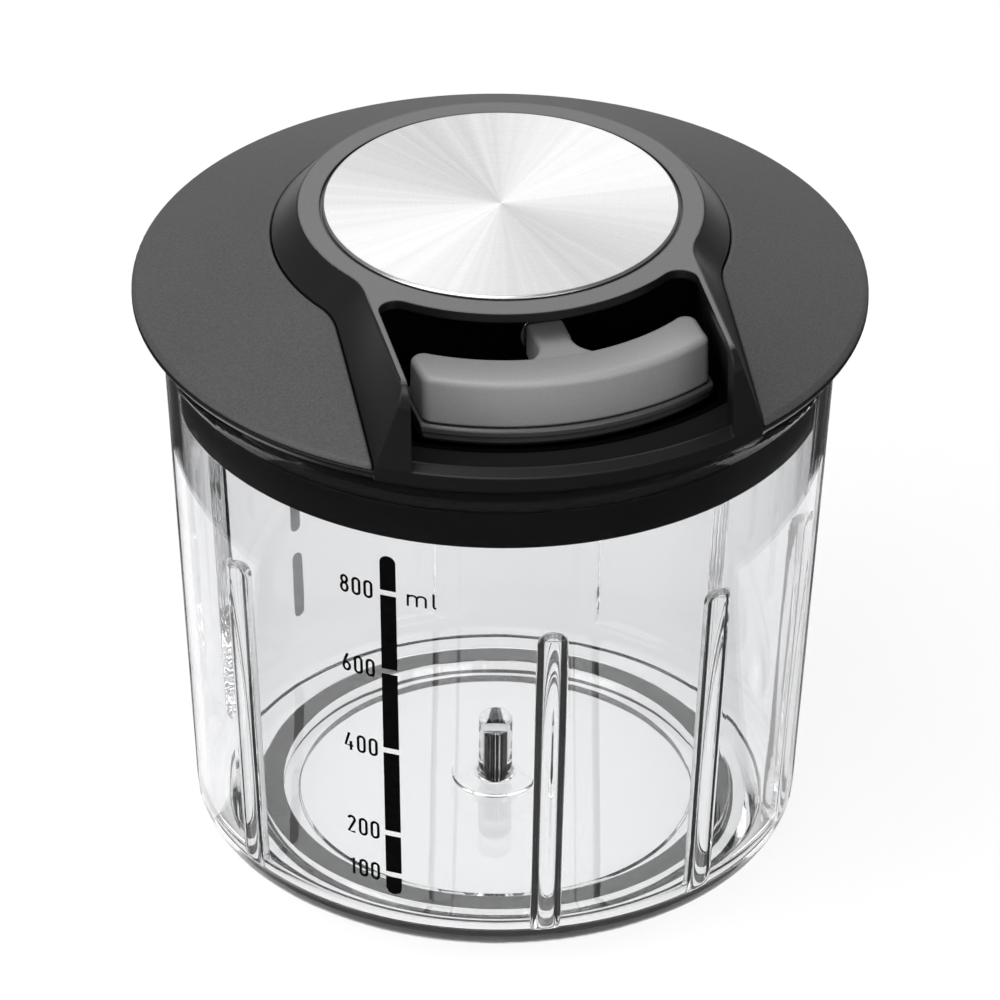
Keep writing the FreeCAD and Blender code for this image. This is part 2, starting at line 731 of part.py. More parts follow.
def drive_coupling():
    """The socket that turns the blade insert: flatted on to the shaft, six-sided below."""
    body = cylinder(coupling_radius, coupling_bottom, coupling_top)
    rim = [e for e in body.Edges if not is_upright(e)]
    body = body.makeChamfer(socket_lead / 2, rim)
    across = socket_across_flats / 2 / math.cos(math.pi / 6)
    corners = [Vec(across * math.cos(math.radians(60 * k)), across * math.sin(math.radians(60 * k)),
                   coupling_bottom - 1) for k in range(6)]
    socket = Part.Face(Part.makePolygon(corners + corners[:1])).extrude(Vec(0, 0, coupling_socket_depth + 1))
    mouth = Part.makeCone(across + socket_lead, across - 0.4, 1.6, Vec(0, 0, coupling_bottom - 0.01))
    body = body.cut(oriented(socket)).cut(mouth)
    return body.cut(flatted_hole(coupling_top - coupling_grip - 0.2, coupling_top + 1))


def bush(wall, bottom, top):
    """A plain bush on the shaft."""
    return tube(shaft_radius + running_fit, shaft_radius + running_fit + wall - press_gap, bottom, top)


def lower_bush():
    return bush(bush_wall, skirt_bottom + seat_gap, arbor_top)


def top_bush_bottom():
    return ratchet_bottom + ratchet_height + body_gap + 0.2


def top_bush():
    return bush(bush_wall, top_bush_bottom(), shaft_top + 0.2)


def ratchet_wheel():
    """Saw teeth that the reel's pawls push on the pull stroke and slip over on the way back."""
    points = []
    step = 2 * math.pi / ratchet_teeth
    for tooth in range(ratchet_teeth):
        tip = tooth * step
        root_radius = ratchet_radius - ratchet_depth
        points.append(Vec(ratchet_radius * math.cos(tip), ratchet_radius * math.sin(tip), ratchet_bottom))
        root = tip + tooth_undercut
        points.append(Vec(root_radius * math.cos(root), root_radius * math.sin(root), ratchet_bottom))
    wheel = Part.Face(Part.makePolygon(points + points[:1])).extrude(Vec(0, 0, ratchet_height))
    return oriented(wheel).cut(flatted_hole(ratchet_bottom - 1, ratchet_bottom + ratchet_height + 1))


# Reel, cord and mainspring

def cord_reel():
    """The bobbin above its spring barrel, turning freely on the drive shaft."""
    web_top = web_bottom + reel_flange
    flange_top = drum_top + reel_flange
    reel = revolve([
        (bobbin_bore, web_bottom), (reel_flange_radius - barrel_wall, web_bottom),
        (reel_flange_radius - barrel_wall, barrel_bottom), (reel_flange_radius, barrel_bottom),
        (reel_flange_radius, web_top), (drum_radius, web_top), (drum_radius, drum_top),
        (top_flange_radius, drum_top), (top_flange_radius, flange_top), (bobbin_bore, flange_top)])
    for k in range(lightening_count):
        side, forward = polar((drum_radius + bobbin_bore) / 2, 360 / lightening_count * (k + 0.5))
        reel = reel.cut(cylinder(lightening_radius, web_top + 1.5, flange_top + 1, side, forward))
    for k in range(pawl_count):
        side, forward = polar(pawl_pivot_radius, 360 / pawl_count * k)
        pin_top = flange_top + pawl_height + 2 * seat_gap
        reel = reel.fuse(cylinder(pawl_pin_radius, flange_top - 0.5, pin_top, side, forward))
    return reel.removeSplitter()


def reel_bush():
    return bush(bobbin_bush_wall, web_bottom + seat_gap, drum_top + reel_flange - seat_gap)


def wound_cord():
    """The cord's turns on the drum, as one closed ring of their outer shape."""
    inner = drum_radius + seat_gap / 2
    low = web_bottom + reel_flange + seat_gap
    return tube(inner, inner + 2 * cord_radius * wound_layers, low, drum_top - seat_gap)


def mainspring():
    """The flat spiral spring: half turns of strip whose radius grows by half a pitch each time."""
    low = barrel_bottom + spring_margin
    high = web_bottom - spring_margin
    pitch = (spring_outer - spring_inner) / spring_turns
    inner_edges = []
    outer_edges = []
    for half_turn in range(2 * spring_turns):
        radius = spring_inner + pitch / 4 + half_turn * pitch / 2
        sign = 1 if half_turn % 2 == 0 else -1
        middle_x = sign * pitch / 4
        for thickness, edges in ((0.0, inner_edges), (spring_strip, outer_edges)):
            r = radius + thickness
            edges.append(arc(Vec(middle_x - sign * r, 0, low), Vec(middle_x, sign * r, low),
                             Vec(middle_x + sign * r, 0, low)))
    start_cap = line(inner_edges[0].Vertexes[0].Point, outer_edges[0].Vertexes[0].Point)
    end_cap = line(inner_edges[-1].Vertexes[-1].Point, outer_edges[-1].Vertexes[-1].Point)
    wire = Part.Wire(Part.__sortEdges__(inner_edges + outer_edges + [start_cap, end_cap]))
    return oriented(Part.Face(wire).extrude(Vec(0, 0, high - low)))


def barrel_cover():
    """The plate that keeps the spring in its barrel."""
    low = barrel_bottom - barrel_cover_thickness
    return tube(arbor_radius + 2 * body_gap, reel_flange_radius, low, barrel_bottom - press_gap)


def pawls():
    """One-way pawls: an eye on the reel's pin and a nose that drops behind a ratchet tooth."""
    low = drum_top + reel_flange + seat_gap
    pieces = []
    nose_radius = ratchet_radius + 0.7
    for k in range(pawl_count):
        eye = cylinder(pawl_eye_radius, low, low + pawl_height, 0, pawl_pivot_radius)
        nose_side, nose_forward = polar(nose_radius, pawl_sweep)
        arm = Part.makePolygon([
            at(-1.6, pawl_pivot_radius - 2.0, low), at(0.6, pawl_pivot_radius + 2.4, low),
            at(nose_side + 1.2, nose_forward + 1.6, low), at(nose_side, nose_forward, low),
            at(-1.6, pawl_pivot_radius - 2.0, low)])
        arm_solid = oriented(Part.Face(arm).extrude(Vec(0, 0, pawl_height)))
        piece = eye.fuse(arm_solid)
        piece = piece.cut(cylinder(pawl_pin_radius + running_fit, below_lid, above_lid, 0, pawl_pivot_radius))
        piece = piece.cut(cylinder(ratchet_radius + body_gap, below_lid, above_lid))
        pieces.append(turned(piece.removeSplitter(), 360 / pawl_count * k))
    return Part.makeCompound(pieces)


def rod(a, b, radius):
    along = b - a
    return Part.makeCylinder(radius, along.Length, a, along)


def cord_run():
    """The cord inside the lid, from the reel to the back of the eyelet."""
    lay_radius = drum_radius + 2 * cord_radius * wound_layers + cord_radius + 1.5 * seat_gap
    leave_z = drum_top - 2 * cord_radius
    eye = at(0, pocket_back - tray_wall - 0.4, cord_exit_z) + eyelet_shift
    reach = math.hypot(eye.x, eye.y)
    towards_eye = math.atan2(eye.x, -eye.y)
    turn = towards_eye + math.acos(lay_radius / reach)
    side, forward = polar(lay_radius, math.degrees(turn))
    return rod(at(side, forward, leave_z), eye, cord_radius)


def cord_end():
    """The cord's last stretch, from its crimp in the handle to just outside the eyelet."""
    start = pocket_back + eyelet_flange + body_gap
    end = anchor_start - seat_gap
    return on_handle(rod(at(0, start, cord_exit_z), at(0, end, cord_exit_z), cord_radius))


def cord_crimp():
    """The crimped sleeve that keeps the cord from pulling out of the handle."""
    sleeve = Part.makeCylinder(anchor_radius, anchor_length, at(0, anchor_start, cord_exit_z), Vec(0, -1, 0))
    return on_handle(sleeve.makeChamfer(0.3, [e for e in sleeve.Edges if len(e.Vertexes) == 1]))


# Handle

def on_handle(shape):
    """A piece of the handle, built straight ahead, turned to where the handle hangs in its pocket."""
    return turned(shape, handle_turn)


def end_wedge(half_low, half_high, low, high):
    """A block whose two ends lean in from one height to another."""
    wire = outline_wire([(-half_low, low), (half_low, low), (half_high, high), (-half_high, high)])
    return oriented(Part.Face(wire).extrude(Vec(0, -far_forward, 0)))


def handle_upper_form(shrink=0.0):
    """The outside of the upper half, or the space inside it when shrunk by the wall."""
    back = handle_back_radius + shrink
    form = revolve([
        (back, handle_parting), (handle_front_radius + handle_front_draft - shrink, handle_parting),
        (handle_front_radius - shrink, handle_top_front - shrink),
        (back + handle_back_draft, handle_top_back - shrink)])
    wedge = end_wedge(handle_half_lip - 0.6 - shrink, handle_half_top - shrink, handle_parting - 1,
                      handle_top_front + 1)
    return form.common(wedge)


def handle_neck():
    """The stub that flares from the back of the handle towards the eyelet."""
    half = neck_half
    points = [at(half, neck_tip, 0), at(half, neck_flare_start, 0), at(neck_root_half, neck_root, 0),
              at(-neck_root_half, neck_root, 0), at(-half, neck_flare_start, 0), at(-half, neck_tip, 0)]
    bulge_side = half + 0.24 * (neck_root_half - half)
    bulge_forward = neck_flare_start + 0.70 * (neck_root - neck_flare_start)
    edges = [line(points[0], points[1]),
             arc(points[1], at(bulge_side, bulge_forward, 0), points[2]),
             line(points[2], points[3]),
             arc(points[3], at(-bulge_side, bulge_forward, 0), points[4]),
             line(points[4], points[5]), line(points[5], points[0])]
    face = Part.Face(Part.Wire(edges))
    face.translate(Vec(0, 0, neck_bottom))
    return oriented(face.extrude(Vec(0, 0, handle_top_back - neck_bottom)))


def handle_top():
    """The upper half of the grip with its neck, hollow below, on two screw pillars."""
    form = handle_upper_form()
    corners = [e for e in form.Edges if is_end_corner(e)]
    form = form.makeFillet(handle_corner, corners)
    crown = [e for e in form.Edges if min(v.Point.z for v in e.Vertexes) > handle_top_back - 0.2]
    form = form.makeFillet(handle_edge, crown)
    neck = handle_neck()
    rounded = [e for e in neck.Edges if on_neck_crown(e)]
    neck = neck.makeFillet(neck_round, rounded)
    body = form.fuse(neck)
    core = block(neck_block_half, 0, handle_back_radius + neck_block_reach, below_lid, above_lid)
    hollow = handle_upper_form(handle_wall).cut(core)
    body = body.cut(hollow)
    for sign in (-1, 1):
        side, forward = sign * handle_screw_x, handle_screw_forward()
        pillar_low = handle_parting + handle_joint_gap
        pilot_top = handle_top_back - handle_wall - 1
        body = body.fuse(cylinder(handle_pillar_radius, pillar_low, handle_top_back - 1, side, forward))
        pilot = cylinder(screw_radius - screw_core + press_gap, below_lid, pilot_top, side, forward)
        body = body.cut(pilot)
    room_start = anchor_start - 2 * seat_gap
    room_end = room_start + anchor_length + 4 * seat_gap
    anchor_room = rod(at(0, room_start, cord_exit_z), at(0, room_end, cord_exit_z), anchor_radius + seat_gap)
    cord_hole = rod(at(0, neck_tip - 1, cord_exit_z), at(0, room_end, cord_exit_z), cord_radius + seat_gap)
    return on_handle(body.cut(anchor_room).cut(cord_hole).removeSplitter())


def is_end_corner(edge):
    """The steep edges at the four corners of the grip."""
    if len(edge.Vertexes) != 2:
        return False
    a, b = (v.Point for v in edge.Vertexes)
    return abs(a.z - b.z) > handle_below_cord


def on_neck_crown(edge):
    points = [v.Point for v in edge.Vertexes]
    if min(p.z for p in points) < handle_top_back - 0.01:
        return False
    return min(-p.y for p in points) < neck_root - 0.01


def handle_screw_forward():
    middle = (handle_back_radius + handle_front_radius) / 2
    return math.sqrt(middle ** 2 - handle_screw_x ** 2)


def handle_bottom_shell():
    """The lower half of the grip: a tub whose lip stands proud of the joint round the front."""
    lip_top = handle_parting - handle_joint_gap
    lip_low = lip_top - handle_lip_height
    back = handle_back_radius
    lip = handle_lip_radius
    front = lip - handle_lip_proud
    form = revolve([
        (back, lip_top), (lip - handle_lip_edge, lip_top), (lip, lip_top - handle_lip_edge), (lip, lip_low),
        (front, lip_low - handle_lip_proud / 2), (front, handle_bottom + handle_foot_chamfer),
        (front - handle_foot_chamfer, handle_bottom), (back + handle_foot_edge, handle_bottom),
        (back, handle_bottom + handle_foot_edge)])
    form = form.common(end_wedge(handle_half_foot, handle_half_lip, handle_bottom, lip_top))
    form = form.makeFillet(handle_lower_corner, [e for e in form.Edges if is_lower_corner(e)])
    floor = handle_bottom + handle_wall
    inside = tube(back + handle_wall, front - handle_wall, floor, above_lid)
    body = form.cut(inside.common(block(handle_half_foot - handle_wall, 0, far_forward, floor, above_lid)))
    for sign in (-1, 1):
        side, forward = sign * handle_screw_x, handle_screw_forward()
        pillar_top = handle_parting + handle_joint_gap - press_gap
        body = body.fuse(cylinder(screw_head_radius + 1.0, floor - 0.5, floor + 1.2, side, forward))
        body = body.fuse(cylinder(handle_pillar_radius, floor, pillar_top, side, forward))
        body = body.cut(cylinder(screw_radius + screw_hole_room, below_lid, above_lid, side, forward))
        head_top = handle_bottom + screw_recess + screw_head_height
        body = body.cut(cylinder(screw_head_radius + screw_hole_room, below_lid, head_top, side, forward))
    return on_handle(body.removeSplitter())


def is_lower_corner(edge):
    """The edges that run down the ends of the lower shell, at its back and below its lip."""
    if len(edge.Vertexes) != 2:
        return False
    a, b = (v.Point for v in edge.Vertexes)
    at_end = min(abs(a.x), abs(b.x)) > handle_half_foot - handle_wall
    reach = sorted((math.hypot(a.x, a.y), math.hypot(b.x, b.y)))
    at_back = reach[1] < handle_back_radius + handle_foot_edge / 2
    at_front = reach[0] > handle_back_radius + 2 * handle_foot_edge
    below_lip = max(a.z, b.z) < handle_parting - handle_joint_gap - handle_lip_height
    return at_end and abs(a.z - b.z) > handle_lip_proud and (at_back or at_front and below_lip)


def handle_screws():
    screws = []
    for sign in (-1, 1):
        piece = screw(handle_screw_length)
        piece.translate(at(sign * handle_screw_x, handle_screw_forward(), handle_bottom + screw_recess))
        screws.append(piece)
    return on_handle(Part.makeCompound(screws))


nodes = {
    "bowl": bowl,
    "spindle_pin": spindle_pin,
    "non_slip_ring": non_slip_ring,
    "lid_cap": lid_cap,
    "wing_cover": wing_cover,
    "metal_disc": metal_disc,
    "pocket_tray": pocket_tray,
    "cord_eyelet": cord_eyelet,
    "inner_housing": inner_housing,
    "seal_ring": seal_ring,
    "housing_screws": housing_screws,
    "lower_bush": lower_bush,
    "top_bush": top_bush,
    "cord_run": cord_run,
    "cord_reel": cord_reel,
    "reel_bush": reel_bush,
    "wound_cord": wound_cord,
    "mainspring": mainspring,
    "barrel_cover": barrel_cover,
    "pawls": pawls,
    "drive_shaft": drive_shaft,
    "ratchet_wheel": ratchet_wheel,
    "drive_coupling": drive_coupling,
    "handle_top": handle_top,
    "handle_bottom": handle_bottom_shell,
    "handle_screws": handle_screws,
    "cord_crimp": cord_crimp,
    "cord_end": cord_end,
}

os.makedirs("parts", exist_ok=True)
for name, make in nodes.items():
    shape = make()
    shape.exportStep("parts/" + name + ".step")
    print(name, "solids", len(shape.Solids), "volume", round(shape.Volume, 1), "valid", shape.isValid())
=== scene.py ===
import math

import bpy
from mathutils import Matrix, Vector


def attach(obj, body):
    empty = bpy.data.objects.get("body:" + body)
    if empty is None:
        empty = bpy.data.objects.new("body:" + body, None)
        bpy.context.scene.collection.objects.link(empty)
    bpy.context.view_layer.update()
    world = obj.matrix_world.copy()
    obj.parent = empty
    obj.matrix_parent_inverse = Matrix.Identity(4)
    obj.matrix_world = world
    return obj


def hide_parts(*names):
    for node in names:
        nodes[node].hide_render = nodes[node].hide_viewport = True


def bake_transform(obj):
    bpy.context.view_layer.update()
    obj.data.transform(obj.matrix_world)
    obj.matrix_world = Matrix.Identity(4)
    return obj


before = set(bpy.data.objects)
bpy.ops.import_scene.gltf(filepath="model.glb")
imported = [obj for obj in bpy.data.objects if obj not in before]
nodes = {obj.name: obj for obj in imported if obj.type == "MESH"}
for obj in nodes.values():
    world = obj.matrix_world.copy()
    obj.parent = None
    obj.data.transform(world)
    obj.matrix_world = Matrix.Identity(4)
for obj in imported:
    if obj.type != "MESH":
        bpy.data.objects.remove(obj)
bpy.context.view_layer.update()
mm = 0.001
print("frame loaded")


# One output of a shader node, so that shader maths reads as plain arithmetic.
class Wire:
    def __init__(self, graph, socket):
        self.graph = graph
        self.socket = socket

    def math(self, kind, *others):
        return self.graph.math(kind, self, *others)

    def __add__(self, other):
        return self.math("ADD", other)

    def __radd__(self, other):
        return self.math("ADD", other)

    def __sub__(self, other):
        return self.math("SUBTRACT", other)

    def __rsub__(self, other):
        return self.graph.math("SUBTRACT", other, self)

    def __mul__(self, other):
        return self.math("MULTIPLY", other)

    def __rmul__(self, other):
        return self.math("MULTIPLY", other)

    def __truediv__(self, other):
        return self.math("DIVIDE", other)

    def __rtruediv__(self, other):
        return self.graph.math("DIVIDE", other, self)


# The node tree of one material, or of the surround.
class Graph:
    def __init__(self, name, surround=False):
        self.block = (bpy.data.worlds if surround else bpy.data.materials).new(name)
        self.block.use_nodes = True
        self.tree = self.block.node_tree
        self.tree.nodes.clear()
        kind = "ShaderNodeOutputWorld" if surround else "ShaderNodeOutputMaterial"
        self.output = self.tree.nodes.new(kind)

    def node(self, kind, settings=None, inputs=None, output=0):
        made = self.tree.nodes.new(kind)
        for key, value in (settings or {}).items():
            setattr(made, key, value)
        pairs = inputs.items() if isinstance(inputs, dict) else enumerate(inputs or [])
        for key, value in pairs:
            self.feed(made.inputs[key], value)
        return Wire(self, made.outputs[output])

    def feed(self, socket, value):
        if isinstance(value, Wire):
            self.tree.links.new(value.socket, socket)
        else:
            socket.default_value = value

    def math(self, kind, *values):
        return self.node("ShaderNodeMath", {"operation": kind}, values)

    def place(self):
        return self.node("ShaderNodeTexCoord", output="Object")

    def split(self, vector, axis):
        return self.node("ShaderNodeSeparateXYZ", inputs=[vector], output=axis)

    def noise(self, vector, scale, detail, roughness):
        return self.node("ShaderNodeTexNoise", inputs={
            "Vector": vector, "Scale": scale, "Detail": detail, "Roughness": roughness})

    def lineNoise(self, value, scale, detail, roughness):
        return self.node("ShaderNodeTexNoise", {"noise_dimensions": "1D"}, {
            "W": value, "Scale": scale, "Detail": detail, "Roughness": roughness})

    def remap(self, value, low, high, newLow=0.0, newHigh=1.0):
        return self.node("ShaderNodeMapRange", inputs=[value, low, high, newLow, newHigh])

    # The Mix node takes its colours at sockets 6 and 7, and gives the mixed one at socket 2.
    def mixColour(self, factor, first, second):
        sockets = {0: factor, 6: first, 7: second}
        return self.node("ShaderNodeMix", {"data_type": "RGBA"}, sockets, output=2)

    def mixGrey(self, factor, levels):
        return self.mixColour(factor, grey(levels[0]), grey(levels[1]))

    def mixShader(self, factor, first, second):
        return self.node("ShaderNodeMixShader", inputs=[factor, first, second])

    def bump(self, height, strength, distance, normal=None):
        inputs = {"Height": height, "Strength": strength, "Distance": distance}
        if normal is not None:
            inputs["Normal"] = normal
        return self.node("ShaderNodeBump", inputs=inputs)

    def softEdge(self, radius):
        return self.node("ShaderNodeBevel", {"samples": 8}, {"Radius": radius})

    def ray(self, kind):
        return self.node("ShaderNodeLightPath", output=kind)

    # One for what the camera sees, straight or through the clear bowl.
    def seenRay(self):
        return self.ray("Is Camera Ray").math("MAXIMUM", self.ray("Is Transmission Ray"))

    def finish(self, shader):
        self.feed(self.output.inputs["Surface"], shader)
        return self.block

    def surface(self, inputs):
        return self.finish(self.node("ShaderNodeBsdfPrincipled", inputs=inputs))


def grey(level):
    return (level, level, level * 1.01, 1.0)


def addMesh(name, points, faces, material, smooth=False):
    mesh = bpy.data.meshes.new(name)
    mesh.from_pydata([tuple(p) for p in points], [], faces)
    mesh.materials.append(material)
    for face in mesh.polygons:
        face.use_smooth = smooth
    made = bpy.data.objects.new(name, mesh)
    bpy.context.scene.collection.objects.link(made)
    return made


def ridingMesh(name, points, faces, material, body):
    made = addMesh(name, points, faces, material, smooth=True)
    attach(made, body)
    return made


# Camera: the photograph's long lens, fitted to the rim, the scale marks and the floor of the bowl.
camera = {
    "azimuth": -12.8, "elevation": 32.59, "roll": 0.59, "distance": 2.2520, "lens": 432.0, "sensor": 36.0,
    "side": 0.00038, "height": 0.06860, "clip": (0.1, 20.0)}


def makeCamera(look):
    turn = math.radians(look["azimuth"])
    lift = math.radians(look["elevation"])
    roll = math.radians(look["roll"])
    back = Vector((math.sin(turn) * math.cos(lift), -math.cos(turn) * math.cos(lift), math.sin(lift)))
    right = Vector((math.cos(turn), math.sin(turn), 0))
    up = back.cross(right)
    target = right * look["side"] + Vector((0, 0, look["height"]))
    leaned = right * math.cos(roll) + up * math.sin(roll)
    upright = up * math.cos(roll) - right * math.sin(roll)
    data = bpy.data.cameras.new("camera")
    data.lens = look["lens"]
    data.sensor_width = look["sensor"]
    data.clip_start, data.clip_end = look["clip"]
    made = bpy.data.objects.new("camera", data)
    bpy.context.scene.collection.objects.link(made)
    pose = Matrix((leaned, upright, back)).transposed().to_4x4()
    pose.translation = target + back * look["distance"]
    made.matrix_world = pose
    bpy.context.scene.camera = made


makeCamera(camera)
print("camera made")


# Studio: a pale floor, a white surround and four soft lights: above, behind, in front and on the left.
# The bounces are many, because light is led far round inside the clear wall before it comes out.
studio = {
    "floorSize": 6.0, "floor": (0.92, 0.93), "mottleScale": 3.0, "floorRough": 0.75, "floorSpecular": 0.1,
    "floorGlow": 0.80, "surround": 1.0, "fill": 0.30,
    "bounces": 32, "clearBounces": 24, "aim": (0.0, 0.0, 0.08),
    "lights": [
        {"name": "topLight", "at": (-0.35, -0.35, 1.38), "size": (1.0, 1.0), "power": 14.0},
        {"name": "backLight", "at": (0.30, 1.30, 0.98), "size": (1.7, 0.7), "power": 7.0},
        {"name": "frontLight", "at": (0.45, -1.45, 0.95), "size": (0.9, 0.5), "power": 8.0},
        {"name": "leftLight", "at": (-1.30, -0.45, 0.80), "size": (0.7, 0.9), "power": 8.5}]}

# Black cards on the floor, out of the camera's sight: the clear bowl shows them in its ribs and outlines.
# Only mirrored light meets them, so a plain look through the bowl shows the pale floor.
# Places are given to the right of and behind the object's middle, as the camera sees it.
cards = {
    "level": 0.03, "height": 0.0006, "inner": (0.0605, 0.150), "outer": 0.60, "turns": (80, 150),
    "steps": 24, "wedge": ((0.0575, 0.0), (0.1120, 0.165), (0.0790, 0.165))}


def sector(inner, start, end):
    outer, steps = cards["outer"], cards["steps"]
    turns = [math.radians(start + (end - start) * k / steps) for k in range(steps + 1)]
    edge = [(outer * math.sin(t), -outer * math.cos(t)) for t in turns]
    return edge + [(inner * math.sin(t), -inner * math.cos(t)) for t in reversed(turns)]


def makeCards(look):
    g = Graph("cardPaint")
    black = g.node("ShaderNodeBsdfDiffuse", inputs={"Color": grey(look["level"])})
    clear = g.node("ShaderNodeBsdfTransparent", inputs=[grey(1.0)])
    paint = g.finish(g.mixShader(g.ray("Glossy Depth").math("MINIMUM", 1.0), clear, black))
    turn = math.radians(camera["azimuth"])
    right = Vector((math.cos(turn), math.sin(turn), 0))
    ahead = Vector((-math.sin(turn), math.cos(turn), 0))
    lift = Vector((0, 0, look["height"]))
    near, far = look["turns"]
    frontInner, sideInner = look["inner"]
    places = {
        "frontCard": sector(frontInner, -near, near),
        "leftCard": sector(sideInner, -far, -near),
        "rightCard": sector(sideInner, near, far),
        "leftWedge": [(-across, behind) for across, behind in look["wedge"]],
        "rightWedge": look["wedge"]}
    for name, corners in places.items():
        points = [right * across + ahead * behind + lift for across, behind in corners]
        card = addMesh(name, points, [tuple(range(len(points)))], paint)
        card.visible_camera = False
        card.visible_diffuse = False
        card.visible_shadow = False


def makeFloor(look):
    g = Graph("floorPaint")
    mottle = g.noise(g.place(), look["mottleScale"], 2.0, 0.5)
    paint = g.node("ShaderNodeBsdfPrincipled", inputs={
        "Base Color": g.mixGrey(mottle, look["floor"]), "Roughness": look["floorRough"],
        "Specular IOR Level": look["floorSpecular"]})
    glow = g.node("ShaderNodeEmission", inputs={"Color": grey(1.0), "Strength": 1.0})
    material = g.finish(g.mixShader(g.seenRay() * look["floorGlow"], paint, glow))
    half = look["floorSize"] / 2
    corners = [(-half, -half, 0), (half, -half, 0), (half, half, 0), (-half, half, 0)]
    floor = addMesh("floor", corners, [(0, 1, 2, 3)], material)


def makeSurround(look):
    g = Graph("studio", surround=True)
    seen = g.node("ShaderNodeBackground", inputs={"Color": grey(look["surround"])})
    lit = g.node("ShaderNodeBackground", inputs={"Color": grey(1.0), "Strength": look["fill"]})
    bpy.context.scene.world = g.finish(g.mixShader(g.seenRay(), lit, seen))


def makeLights(look):
    for light in look["lights"]:
        data = bpy.data.lights.new(light["name"], "AREA")
        data.shape = "RECTANGLE"
        data.size, data.size_y = light["size"]
        data.energy = light["power"]
        made = bpy.data.objects.new(light["name"], data)
        bpy.context.scene.collection.objects.link(made)
        made.location = light["at"]
        made.rotation_euler = (Vector(look["aim"]) - made.location).to_track_quat("-Z", "Y").to_euler()


bpy.context.scene.view_settings.view_transform = "Standard"
paths = bpy.context.scene.cycles
paths.max_bounces = studio["bounces"]
paths.glossy_bounces = studio["clearBounces"]
paths.transmission_bounces = studio["clearBounces"]
makeSurround(studio)
makeFloor(studio)
makeCards(cards)
makeLights(studio)
print("studio made")


def dress(material, names):
    for name in names:
        slots = nodes[name].data.materials
        slots.clear()
        slots.append(material)


# Moulded plastics, each with its CAD nodes. Two levels of grey each, and lengths in metres.
mouldings = {
    "coverPlastic": {
        "nodes": ["wing_cover"], "colour": (0.031, 0.080), "grainScale": 2400.0, "grainTone": 1.2,
        "grainDepth": 0.35, "roughness": 0.50, "specular": 0.30, "edge": 0.00045},
    # The cap's level top is painted a lighter grey, as if lit from above, and its sill in the pocket is
    # painted black as shade.
    "capPlastic": {
        "nodes": ["lid_cap"], "colour": (0.006, 0.012), "grainScale": 3000.0, "grainTone": 0.5,
        "grainDepth": 0.12, "roughness": 0.34, "specular": 0.22, "edge": 0.00060,
        "flat": (0.10, 0.135), "litTopFrom": 0.126, "paintedLedgeShade": 0.0015, "ledgeTo": 0.1156, "ledgeRough": 0.5},
    "handlePlastic": {
        "nodes": ["handle_top"], "colour": (0.24, 0.30), "grainScale": 2600.0, "grainTone": 0.8,
        "grainDepth": 0.22, "roughness": 0.42, "specular": 0.45, "edge": 0.00060},
    "lowerHandlePlastic": {
        "nodes": ["handle_bottom"], "colour": (0.05, 0.08), "grainScale": 2600.0, "grainTone": 0.8,
        "grainDepth": 0.10, "roughness": 0.36, "specular": 0.45, "edge": 0.00050},
    # The pocket tray is painted near black with almost no gloss: painted shade, as deep in the pocket.
    "paintedShadeTrayPlastic": {
        "nodes": ["pocket_tray"], "colour": (0.001, 0.002), "grainScale": 3000.0, "grainTone": 0.5,
        "grainDepth": 0.05, "roughness": 0.60, "specular": 0.01, "edge": 0.00030},
    "blackPlastic": {
        "nodes": ["inner_housing", "drive_coupling"], "colour": (0.004, 0.008), "grainScale": 3000.0,
        "grainTone": 0.5, "grainDepth": 0.12, "roughness": 0.42, "specular": 0.10, "edge": 0.00040},
    "sealRubber": {
        "nodes": ["seal_ring"], "colour": (0.010, 0.018), "grainScale": 3000.0, "grainTone": 0.5,
        "grainDepth": 0.04, "roughness": 0.60, "specular": 0.05, "edge": 0.00040},
    "naturalPlastic": {
        "nodes": ["cord_reel", "barrel_cover", "pawls", "lower_bush", "top_bush", "reel_bush"],
        "colour": (0.55, 0.62), "grainScale": 3000.0, "grainTone": 0.4, "grainDepth": 0.10,
        "roughness": 0.45, "specular": 0.4, "edge": 0.0002}}

# What all the mouldings share: the slow colour drift, the tone's range and the grain's real height.
moulding = {"driftScale": 22.0, "driftTone": 0.35, "driftRough": 0.10, "toneFrom": 0.32, "toneSpan": 0.55,
            "grainHeight": 0.00012, "facingUp": (0.90, 0.99), "step": 0.001}


def mouldedPlastic(name, look):
    g = Graph(name)
    where = g.place()
    grain = g.noise(where, look["grainScale"], 2.0, 0.6)
    drift = g.noise(where, moulding["driftScale"], 3.0, 0.55)
    mixed = grain * look["grainTone"] + drift * moulding["driftTone"]
    span = moulding["toneSpan"] * (look["grainTone"] + moulding["driftTone"])
    tone = g.remap(mixed, moulding["toneFrom"], moulding["toneFrom"] + span)
    colour = g.mixGrey(tone, look["colour"])
    rough = look["roughness"] + (drift - 0.5) * moulding["driftRough"]
    if "flat" in look:       # the level top is painted lighter, standing in for the light from above, and the sill in the pocket is painted black as shade
        step = moulding["step"]
        facing = g.split(g.node("ShaderNodeNewGeometry", output="True Normal"), "Z")
        level = g.remap(facing, *moulding["facingUp"])
        height = g.split(where, "Z")
        top = level * g.remap(height, look["litTopFrom"] - step, look["litTopFrom"])
        paintedLedgeShade = level * g.remap(height, look["ledgeTo"], look["ledgeTo"] + step, 1.0, 0.0)
        # Painted light and shade: a lighter colour on the level top, near black on the pocket's sill.
        colour = g.mixColour(top, colour, g.mixGrey(tone, look["flat"]))
        colour = g.mixColour(paintedLedgeShade, colour, grey(look["paintedLedgeShade"]))
        rough = rough + paintedLedgeShade * look["ledgeRough"]
    return g.surface({
        "Base Color": colour, "Roughness": rough, "Specular IOR Level": look["specular"],
        "Normal": g.bump(grain, look["grainDepth"], moulding["grainHeight"], g.softEdge(look["edge"]))})


for name, look in mouldings.items():
    dress(mouldedPlastic(name, look), look["nodes"])
print("mouldings dressed")
